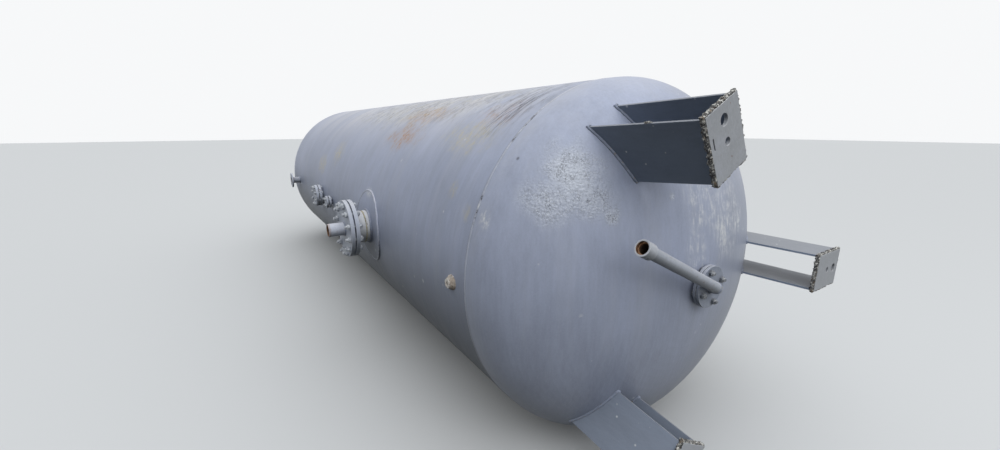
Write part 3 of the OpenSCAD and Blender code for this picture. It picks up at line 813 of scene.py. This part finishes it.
def plate_edge(y, start, slope):
    """Where a side plate's straight edge meets the head, as a distance from the axis."""
    z = start
    for _ in range(12):
        z = start + slope * (dome_point(y, z)[0].x - HEAD_RIM)
    return z


def plate_fillet(face_y, other_y):
    """The path of the fillet round one side plate, down its one face and up its other."""
    path = []
    for y, bulge, down in ((face_y, face_y - other_y, True), (other_y, other_y - face_y, False)):
        outer = plate_edge(y, *PLATE_FROM) + FILLET_OFF
        inner = plate_edge(y, *PLATE_TO) - FILLET_OFF
        side = math.copysign(FILLET_ASIDE, bulge)
        for step in range(FILLET_STEPS + 1):
            share = step / FILLET_STEPS if down else 1 - step / FILLET_STEPS
            point, outwards = dome_point(y + side, outer + (inner - outer) * share, FILLET_OFF)
            path.append((point, (outwards + Vector((0, math.copysign(1, bulge), 0))).normalized()))
    return path


def foot_bead_path():
    """The path of the bead round a foot plate, with rounded corners."""
    corners = (
        (-LEG_HALF, FOOT_OUTER),
        (-LEG_HALF, FOOT_INNER),
        (LEG_HALF, FOOT_INNER),
        (LEG_HALF, FOOT_OUTER),
    )
    path = []
    for index, (y0, z0) in enumerate(corners):
        y1, z1 = corners[(index + 1) % 4]
        count = round(math.hypot(y1 - y0, z1 - z0) / CRUST_STEP)
        for step in range(count):
            y = y0 + (y1 - y0) * step / count
            z = z0 + (z1 - z0) * step / count
            bulge = Vector((0, y, (z - (FOOT_INNER + FOOT_OUTER) / 2) * 0.74)).normalized()
            drift = CRUST_DRIFT * uneven(Vector((0, y, z)), 16.0, 7.0)
            path.append((Vector((LEG_END + CRUST_PAST + drift, y, z)), bulge))
    return path


tree, place, pale = new_group("weld_crust", ("Place", "Pale"), ("Color", "Height"))
lump = field(tree, place, 60.0, 8.0, 0.68)
colour = tint(tree, between(tree, lump, 0.52, 0.66), SCALE_GREY, SCALE_TAN)
bright = between(tree, field(tree, place, 95.0, 7.0, 0.7), 0.48, 0.60)
colour = tint(tree, times(tree, bright, pale), colour, SCALE_PALE)
burnt = between(tree, field(tree, place, 130.0, 5.0, 0.7), 0.50, 0.40)
colour = tint(tree, burnt, colour, SCALE_DARK)
grainy = field(tree, place, 420.0, 5.0, 0.65)
height = added(tree, grainy, 0.5, lump)
give(tree, Color=colour, Height=height)

rough_weld, tree, place = new_finish("rough_weld")
crust = use_group(tree, "weld_crust", Place=place, Pale=1.0)
close_finish(tree, crust["Color"], 0.78, crust["Height"], 0.003, specular=0.3)

painted_weld, tree, place = new_finish("painted_weld")
coat = brushed(tree, FILLET_PAINT, place, place, chalky=0.45, dusty=0.2, underside_shade=0.6)
crust = use_group(tree, "weld_crust", Place=place, Pale=0.5)
bare = use_group(tree, "rust_flecks", Place=place, Scale=60.0, Share=0.22)["Mask"]
colour = tint(tree, bare, coat["Color"], crust["Color"], 0.8)
close_finish(tree, colour, 0.6, crust["Height"], 0.002, specular=0.3)

for seed, (leg, turn) in enumerate(LEG_TURNS.items()):
    leg_place = Matrix.Translation((NEAR_SEAM, AXIS_Y, AXIS_Z)) @ Matrix.Rotation(
        math.radians(turn), 4, "X"
    )
    shape = bmesh.new()
    for side in (-1, 1):
        outer_y = side * LEG_HALF
        inner_y = side * (LEG_HALF - PLATE_THICK)
        weld_rope(shape, plate_fillet(outer_y, inner_y), FILLET, FILLET_LUMPS, 10.0 * seed + side)
    shape.transform(leg_place)
    keep_piece(leg + "_head_fillets", shape, painted_weld, "rough_weld", leg + "_welds")
    shape = bmesh.new()
    if leg == "top_leg":
        bmesh.ops.create_icosphere(
            shape,
            subdivisions=3,
            radius=SPATTER,
            matrix=Matrix.Translation(SPATTER_PLACE) @ Matrix.Diagonal(SPATTER_SHAPE),
        )
        for point in shape.verts:
            point.co += (point.co - Vector(SPATTER_PLACE)) * 0.5 * uneven(point.co, 160.0, 8.0)
    weld_rope(shape, foot_bead_path(), CRUST, CRUST_LUMPS, 20.0 + seed, spread=CRUST_SPREAD)
    for point in shape.verts:
        point.co.x = min(point.co.x, LEG_END + CRUST_FLAT)
    shape.transform(leg_place)
    keep_piece(leg + "_foot_crust", shape, rough_weld, "rough_weld", leg + "_welds")


# Main branch. A steel pipe set through a stiffening ring, with a rusted weld round
# its neck and a slip-on flange. The bolted cover carries a short open pipe.

MAIN_X = 1.405
MAIN_R = 0.1095
RING_R = 0.2435
RING_THICK = 0.008
MAIN_BACK = 1.002
MAIN_END = 1.059
MAIN_CIRCLE = 0.330
MAIN_EASING = 0.0015
STUB_R = 0.0445
STUB_END = 1.165
STUB_BORE_R = 0.039
FLANGE_PAINT = (0.44, 0.475, 0.56, 1.0)
NECK_PAINT = (0.64, 0.65, 0.67, 1.0)
PIPE_PAINT = (0.38, 0.405, 0.46, 1.0)
STUB_PAINT = (0.55, 0.58, 0.67, 1.0)
RUST_ORANGE = (0.40, 0.235, 0.140, 1.0)
DARK_RUST_AND_SHADE = (0.050, 0.033, 0.026, 1.0)
STUD_METAL = (0.40, 0.425, 0.47, 1.0)
STUD_BRIGHT = (0.72, 0.74, 0.76, 1.0)
GASKET_BLACK = (0.030, 0.030, 0.033, 1.0)
GASKET_WORN = (0.075, 0.072, 0.070, 1.0)
NUT_HIGH = 0.8
NUT_WIDE = 1.8
THREAD_DEEP = 0.06
THREAD_PITCH = 0.115
NUT_EASING = 0.055
STUD_STEPS = 20

# Ropes of weld: radius, and how far the lumps stand out.
RING_ROPE = (0.0068, 0.0020)
NECK_ROPE = (0.0078, 0.0018)
JOINT_ROPE = (0.0056, 0.0010)
FLANGE_ROPE = (0.0055, 0.0009)
STUB_ROPE = (0.0048, 0.0010)

# Studs: size, thickness clamped, and how far they run past the lower and the upper nut.
MAIN_STUDS = (0.022, 0.057, 0.006, 0.016)


def branch_place(from_seam, out=0.0):
    """The frame of a side branch, some way out along its Z from the vessel's axis."""
    foot = Matrix.Translation((NEAR_SEAM - from_seam, AXIS_Y, AXIS_Z))
    return foot @ Matrix.Rotation(math.pi / 2, 4, "X") @ Matrix.Translation((0, 0, out))


def ways_round(count):
    """Evenly spaced ways out from the middle of a circle."""
    turns = [math.tau * step / count for step in range(count)]
    return [Vector((math.cos(turn), math.sin(turn), 0)) for turn in turns]


def saddle_path(radius, lift, count):
    """The path of a weld round a branch on the shell, or on a plate that lies on it."""
    path = []
    for radial in ways_round(count):
        point = radial * radius
        point.z = math.sqrt((SHELL_R + lift) ** 2 - point.y**2)
        outwards = Vector((0, point.y, point.z)).normalized()
        path.append((point, (radial + outwards).normalized()))
    return path


def ring_path(radius, height, count, lean=0.0):
    """The path of a weld round a straight pipe."""
    path = []
    for radial in ways_round(count):
        bulge = (radial + Vector((0, 0, lean))).normalized()
        path.append((radial * radius + Vector((0, 0, height)), bulge))
    return path


def welds(name, place, finish, *ropes, nodes=()):
    """One piece made of several ropes of weld, each given as path, size and lumps."""
    shape = bmesh.new()
    for seed, (path, size, lumps) in enumerate(ropes):
        weld_rope(shape, path, size, lumps, 30.0 + 3.0 * seed)
    shape.transform(place)
    keep_piece(name, shape, finish, "rough_weld", *nodes)


def stud_outline(size, low, high, nut_low, nut_high):
    """Half the outline of a stud: plain between the outsides of its nuts, threaded past them."""
    radius = size / 2
    root = radius - THREAD_DEEP * size
    pitch = THREAD_PITCH * size
    outline = [(0.0, low), (root, low)]
    for start, end in ((low, nut_low), (nut_high, high)):
        turns = max(int((end - start) / pitch), 0)
        for turn in range(turns):
            outline.append((radius, start + (turn + 0.5) * pitch))
            outline.append((root, start + (turn + 1.0) * pitch))
        if start == low:
            outline.append((radius, nut_low))
            outline.append((radius, nut_high))
    return outline + [(root, high), (0.0, high)]


def stud_mesh(size, grip, under, over):
    """One stud with its two nuts, standing on the back of the joint that it clamps."""
    shape = bmesh.new()
    nut = NUT_HIGH * size
    outline = stud_outline(size, -nut - under, grip + nut + over, -nut, grip + nut)
    points = [shape.verts.new((radius, 0, height)) for radius, height in outline]
    edges = [shape.edges.new(pair) for pair in zip(points, points[1:])]
    spin_round(shape, points, edges, (0, 0, 0), (0, 0, 1), STUD_STEPS)
    for bottom in (-nut, grip):
        before = set(shape.edges)
        corners = bmesh.ops.create_circle(
            shape,
            cap_ends=True,
            segments=6,
            radius=NUT_WIDE * size / 2,
            matrix=Matrix.Translation((0, 0, bottom)),
        )["verts"]
        raised = bmesh.ops.extrude_face_region(shape, geom=list(corners[0].link_faces))["geom"]
        top = [item for item in raised if isinstance(item, bmesh.types.BMVert)]
        bmesh.ops.translate(shape, verts=top, vec=(0, 0, nut))
        new = [edge for edge in shape.edges if edge not in before]
        round_off(shape, new, NUT_EASING * size)
    bmesh.ops.remove_doubles(shape, verts=shape.verts, dist=1e-6)
    return mesh_of("one_stud", shape)


def stud_circle(node, place, count, circle, finish, *sizes):
    """Studs round a bolt circle, each turned its own way, in place of a CAD node's."""
    one_stud = stud_mesh(*sizes)
    shape = bmesh.new()
    for index in range(count):
        start = len(shape.verts)
        shape.from_mesh(one_stud)
        shape.verts.ensure_lookup_table()
        turn = (index + 0.5) * math.tau / count
        own_turn = 3.0 * uneven(Vector((index, circle, 0.5)), 1.7, 9.0)
        spot = (
            place
            @ Matrix.Rotation(turn, 4, "Z")
            @ Matrix.Translation((circle / 2, 0, 0))
            @ Matrix.Rotation(own_turn, 4, "Z")
        )
        bmesh.ops.transform(shape, matrix=spot, verts=shape.verts[start:])
    bpy.data.meshes.remove(one_stud)
    keep_piece(node + "_finished", shape, finish, "bolt_steel", node)


def rusting_pipe(name, paint, mouth, inwards, bore_r, rim, rusted=1.0):
    """A pipe's finish: paint that gives way to rust round its open end and in its bore, with painted
    shade deeper in.
    """
    finish, tree, place = new_finish(name)
    coat = brushed(tree, paint, place, place, chalky=0.5, dusty=0.4, underside_shade=0.5)
    colour, flecks = edges_and_rust(tree, place, coat["Color"], 0.003, SPLASH, 0.17)
    offset = vector_calc(tree, "SUBTRACT", place, mouth)
    depth = vector_calc(tree, "DOT_PRODUCT", offset, inwards)
    across = vector_calc(tree, "LENGTH", vector_calc(tree, "CROSS_PRODUCT", offset, inwards))
    patchy = field(tree, place, 45.0, 7.0, 0.7)
    reach = added(tree, patchy, -1.6 * rim, depth)
    at_rim = between(tree, reach, rim * 0.4, -rim * 0.5, 0.0, rusted)
    rust = between(tree, field(tree, place, 120.0, 6.0, 0.7), 0.40, 0.62)
    rust = tint(tree, rust, RUST_BROWN, RUST_ORANGE)
    colour = tint(tree, at_rim, colour, rust)
    in_bore = calc(tree, "LESS_THAN", across, bore_r + 0.0004)
    # Rust in the bore, darkened deeper in as painted shade.
    bore_rust_and_shade = tint(tree, between(tree, depth, -0.4 * bore_r, 0.8 * bore_r), rust, DARK_RUST_AND_SHADE)
    colour = tint(tree, in_bore, colour, bore_rust_and_shade)
    rough = calc(tree, "MAXIMUM", flecks, at_rim)
    rough = added(tree, rough, 0.3, coat["Roughness"])
    relief = times(tree, at_rim, 2.0)
    relief = added(tree, patchy, relief, coat["Height"])
    close_finish(tree, colour, rough, relief, 0.0010, specular=0.25)
    return finish


flange_paint = painted("flange_paint", FLANGE_PAINT, (0.5, 0.5, 0.6), 0.11, 0.25)
neck_paint = painted("neck_paint", NECK_PAINT, (0.5, 0.5, 0.5), 0.19, 0.25)
pipe_paint = painted("pipe_paint", PIPE_PAINT, (0.3, 0.4, 0.7), 0.14, 0.22)

stub_finish = rusting_pipe(
    "rusty_stub",
    STUB_PAINT,
    (NEAR_SEAM - MAIN_X, AXIS_Y - STUB_END, AXIS_Z),
    (0.0, 1.0, 0.0),
    STUB_BORE_R,
    0.014,
    rusted=0.45,
)

rusty_weld, tree, place = new_finish("rusty_weld")
crust = use_group(tree, "weld_crust", Place=place, Pale=0.35)
ochre = between(tree, field(tree, place, 26.0, 6.0, 0.66), 0.34, 0.58)
colour = tint(tree, ochre, crust["Color"], YELLOW_STAIN, 0.75)
close_finish(tree, colour, 0.8, crust["Height"], 0.0025, specular=0.2)

stud_steel, tree, place = new_finish("bolt_steel")
dull = field(tree, place, 55.0, 6.0, 0.62)
colour = tint(tree, between(tree, dull, 0.44, 0.70), STUD_METAL, STUD_BRIGHT)
colour, rust = edges_and_rust(tree, place, colour, 0.0010, STUD_BRIGHT, 0.16, scale=48.0)
dirty = between(tree, field(tree, place, 80.0, 5.0, 0.66), 0.44, 0.30)
colour = tint(tree, dirty, colour, DIRT_AND_SHADE, 0.7)
close_finish(
    tree,
    colour,
    added(tree, rust, 0.25, added(tree, dull, 0.3, 0.36)),
    dull,
    0.0007,
    metallic=0.35,
    specular=0.4,
)

gasket_sheet, tree, place = new_finish("gasket")
frayed = field(tree, place, 90.0, 6.0, 0.7)
colour = tint(tree, between(tree, frayed, 0.45, 0.70), GASKET_BLACK, GASKET_WORN)
close_finish(tree, colour, added(tree, frayed, 0.2, 0.70), frayed, 0.0010)

main_place = branch_place(MAIN_X)
repaint(shell_paint, "main_branch_pad")
repaint(neck_paint, "main_branch_neck")
repaint(gasket_sheet, "main_branch_gasket")
repaint(stub_finish, "main_branch_stub")
for node in ("main_branch_flange", "main_branch_cover"):
    eased_copy(node, MAIN_EASING, flange_paint, "flange_paint")
for name, finish, path, rope in (
    ("ring_fillet", seam_paint, saddle_path(RING_R, 0.0035, 260), RING_ROPE),
    ("neck_fillet", painted_weld, saddle_path(MAIN_R + 0.0035, RING_THICK + 0.0030, 150), NECK_ROPE),
    ("neck_joint", rusty_weld, ring_path(MAIN_R - 0.0035, SHELL_R + 0.038, 150), JOINT_ROPE),
    (
        "flange_fillet",
        painted_weld,
        ring_path(MAIN_R + 0.0015, MAIN_BACK - 0.0015, 150, -1.0),
        FLANGE_ROPE,
    ),
    ("stub_fillet", painted_weld, ring_path(STUB_R + 0.0010, MAIN_END + 0.0010, 80, 1.0), STUB_ROPE),
):
    nodes = ("main_branch_welds",) if "neck" in name else ()
    welds("main_branch_" + name, main_place, finish, (path, *rope), nodes=nodes)
main_joint = branch_place(MAIN_X, MAIN_BACK)
stud_circle("main_branch_bolts", main_joint, 12, MAIN_CIRCLE, stud_steel, *MAIN_STUDS)


# Second and small branches. Two short necks, each forged with its flange, are
# closed by blank covers bolted straight over them, close to the shell.

SECOND_X = 3.010
SECOND_R = 0.057
SECOND_BACK = 0.918
SECOND_CIRCLE = 0.176
SECOND_STUDS = (0.016, 0.053, 0.002, 0.009)
SMALL_X = 2.550
SMALL_R = 0.017
SMALL_BACK = 0.916
SMALL_CIRCLE = 0.082
SMALL_STUDS = (0.012, 0.041, 0.002, 0.008)
SMALL_ROPE = (0.0045, 0.0007)
SADDLE_LIFT = 0.0015
FLANGE_EASING = 0.0012

low_flange_paint = painted("low_flange_paint", FLANGE_PAINT, (0.4, 0.3, 0.7), 0.19, 0.25)
for node in ("second_branch_neck", "second_branch_cover", "small_branch_neck", "small_branch_cover"):
    eased_copy(node, FLANGE_EASING, low_flange_paint, "flange_paint")
repaint(gasket_sheet, "second_branch_gasket", "small_branch_gasket")
welds(
    "second_branch_fillet",
    branch_place(SECOND_X),
    painted_weld,
    (saddle_path(SECOND_R + 0.0020, SADDLE_LIFT, 90), *FLANGE_ROPE),
)
welds(
    "small_branch_fillet",
    branch_place(SMALL_X),
    painted_weld,
    (saddle_path(SMALL_R + 0.0015, SADDLE_LIFT, 40), *SMALL_ROPE),
)
second_joint = branch_place(SECOND_X, SECOND_BACK)
stud_circle("second_branch_bolts", second_joint, 8, SECOND_CIRCLE, stud_steel, *SECOND_STUDS)
small_joint = branch_place(SMALL_X, SMALL_BACK)
stud_circle("small_branch_bolts", small_joint, 4, SMALL_CIRCLE, stud_steel, *SMALL_STUDS)


# Open branch. A longer steel pipe near the plain end, rusted at its mouth and in its
# bore, with a painted slip-on flange that nothing is bolted to any more.

OPEN_X = 4.500
OPEN_R = 0.038
OPEN_END = 1.000
OPEN_BORE_R = 0.034
OPEN_RUSTED = 0.030
OPEN_BACK = 0.985

open_pipe = rusting_pipe(
    "open_pipe_rust",
    PIPE_PAINT,
    (NEAR_SEAM - OPEN_X, AXIS_Y - OPEN_END, AXIS_Z),
    (0.0, 1.0, 0.0),
    OPEN_BORE_R,
    OPEN_RUSTED,
)
repaint(open_pipe, "open_branch_neck")
eased_copy("open_branch_flange", FLANGE_EASING, flange_paint, "flange_paint")
welds(
    "open_branch_fillets",
    branch_place(OPEN_X),
    painted_weld,
    (saddle_path(OPEN_R + 0.0020, SADDLE_LIFT, 70), *FLANGE_ROPE),
    (ring_path(OPEN_R + 0.0015, OPEN_BACK - 0.0015, 70, -1.0), *SMALL_ROPE),
)


# Gauge socket. A thick bare socket by the seam, for a gauge or a valve, built up
# all round with several passes of weld that were never cleaned or painted.

SOCKET_X = 0.117
SOCKET_METAL = (0.50, 0.46, 0.42, 1.0)
BUFF = (0.72, 0.64, 0.57, 1.0)
SOCKET_EASING = 0.0010

bare_socket, tree, place = new_finish("bare_socket")
scaly = field(tree, place, 70.0, 7.0, 0.68)
colour = tint(tree, between(tree, scaly, 0.40, 0.64), SOCKET_METAL, SCALE_PALE)
colour, rust = edges_and_rust(tree, place, colour, 0.002, SPLASH, 0.22, scale=52.0)
close_finish(tree, colour, added(tree, rust, 0.25, 0.5), scaly, 0.0012, metallic=0.3, specular=0.4)

pale_weld, tree, place = new_finish("pale_weld")
crust = use_group(tree, "weld_crust", Place=place, Pale=1.0)
blanched = between(tree, field(tree, place, 40.0, 5.0, 0.6), 0.30, 0.52)
colour = tint(tree, blanched, crust["Color"], BUFF, 0.55)
# Painted shade: the weld is darkened below the socket's middle.
height = part_of(tree, place, "Z")
height = added(tree, field(tree, place, 60.0, 5.0, 0.7), 0.030, height)
socket_lower_shade = between(tree, height, AXIS_Z + 0.010, AXIS_Z - 0.010, 0.0, 0.85)
colour = tint(tree, socket_lower_shade, colour, SCALE_GREY)
length = part_of(tree, place, "X")
brown = between(tree, length, NEAR_SEAM - SOCKET_X, NEAR_SEAM - SOCKET_X + 0.024, 0.0, 0.45)
colour = tint(tree, brown, colour, SCALE_TAN)
close_finish(tree, colour, 0.75, crust["Height"], 0.003, specular=0.3)

eased_copy("gauge_socket", SOCKET_EASING, bare_socket, "bare_socket")
welds(
    "gauge_socket_build_up",
    branch_place(SOCKET_X),
    pale_weld,
    (saddle_path(0.0280, 0.0010, 60), 0.0074, 0.0022),
    (ring_path(0.0252, 0.9080, 54, 0.6), 0.0058, 0.0019),
    (ring_path(0.0232, 0.9150, 48, 0.6), 0.0042, 0.0012),
)


# Drain. Two thin flanges bolted together in the middle of the head with a gasket, and
# a bent steel pipe along the head that ends in a pale collar with a rusty bore.

HEAD_END = 0.510
DRAIN_TURN = math.radians(63.0)
DRAIN_R = 0.024
DRAIN_BORE_R = 0.020
DRAIN_BACK = 0.523
DRAIN_FRONT = 0.550
DRAIN_AXIS = 0.584
DRAIN_BEND = 0.034
DRAIN_LONG = 0.590
DRAIN_CIRCLE = 0.145
DRAIN_STUDS = (0.016, 0.027, 0.0, 0.009)
DRAIN_ROPE = (0.0038, 0.0006)
COLLAR_PAST = 0.012
COLLAR_PAINT = (0.46, 0.48, 0.53, 1.0)
DRAIN_FLANGE_PAINT = (0.27, 0.30, 0.375, 1.0)
DRAIN_STUD_PAINT = (0.11, 0.125, 0.15, 1.0)

head_place = Matrix.Translation((NEAR_SEAM, AXIS_Y, AXIS_Z))
head_place = head_place @ Matrix.Rotation(math.pi / 2, 4, "Y")
drain_place = Matrix.Translation((NEAR_SEAM + DRAIN_AXIS, AXIS_Y, AXIS_Z))
drain_place = drain_place @ Matrix.Rotation(DRAIN_TURN, 4, "X")
drain_way = (drain_place.to_3x3() @ Vector((0, 0, -1))).normalized()
drain_pipe = rusting_pipe(
    "drain_pipe_rust",
    PIPE_PAINT,
    tuple(drain_place @ Vector((0, 0, DRAIN_LONG))),
    tuple(drain_way),
    DRAIN_BORE_R,
    0.030,
)
collar_finish = rusting_pipe(
    "collar_rust",
    COLLAR_PAINT,
    tuple(drain_place @ Vector((0, 0, DRAIN_LONG + COLLAR_PAST))),
    tuple(drain_way),
    DRAIN_R + 0.0003,
    0.010,
    rusted=0.0,
)
drain_flange_paint = painted("drain_flange_paint", DRAIN_FLANGE_PAINT, (0.4, 0.4, 0.6), 0.10, 0.25)
drain_stud_paint = painted("drain_stud_paint", DRAIN_STUD_PAINT, (0.3, 0.3, 0.6), 0.14, 0.3)
repaint(pipe_paint, "drain_neck")
repaint(gasket_sheet, "drain_gasket")
repaint(drain_pipe, "drain_elbow", "drain_pipe")
for node in ("drain_fixed_flange", "drain_loose_flange"):
    eased_copy(node, FLANGE_EASING, drain_flange_paint, "flange_paint")
eased_copy("drain_coupling", SOCKET_EASING, collar_finish, "rusty_pipe")
welds(
    "drain_fillets",
    head_place,
    painted_weld,
    (ring_path(DRAIN_R + 0.0015, HEAD_END + 0.0010, 48, 1.0), *SMALL_ROPE),
    (ring_path(DRAIN_R + 0.0010, DRAIN_FRONT + 0.0010, 48, 1.0), *DRAIN_ROPE),
)
welds(
    "drain_elbow_weld",
    drain_place,
    painted_weld,
    (ring_path(DRAIN_R - 0.0015, DRAIN_BEND, 48), *DRAIN_ROPE),
)
drain_joint = head_place @ Matrix.Translation((0, 0, DRAIN_BACK))
drain_joint = drain_joint @ Matrix.Rotation(DRAIN_TURN, 4, "Z")
stud_circle("drain_bolts", drain_joint, 4, DRAIN_CIRCLE, drain_stud_paint, *DRAIN_STUDS)
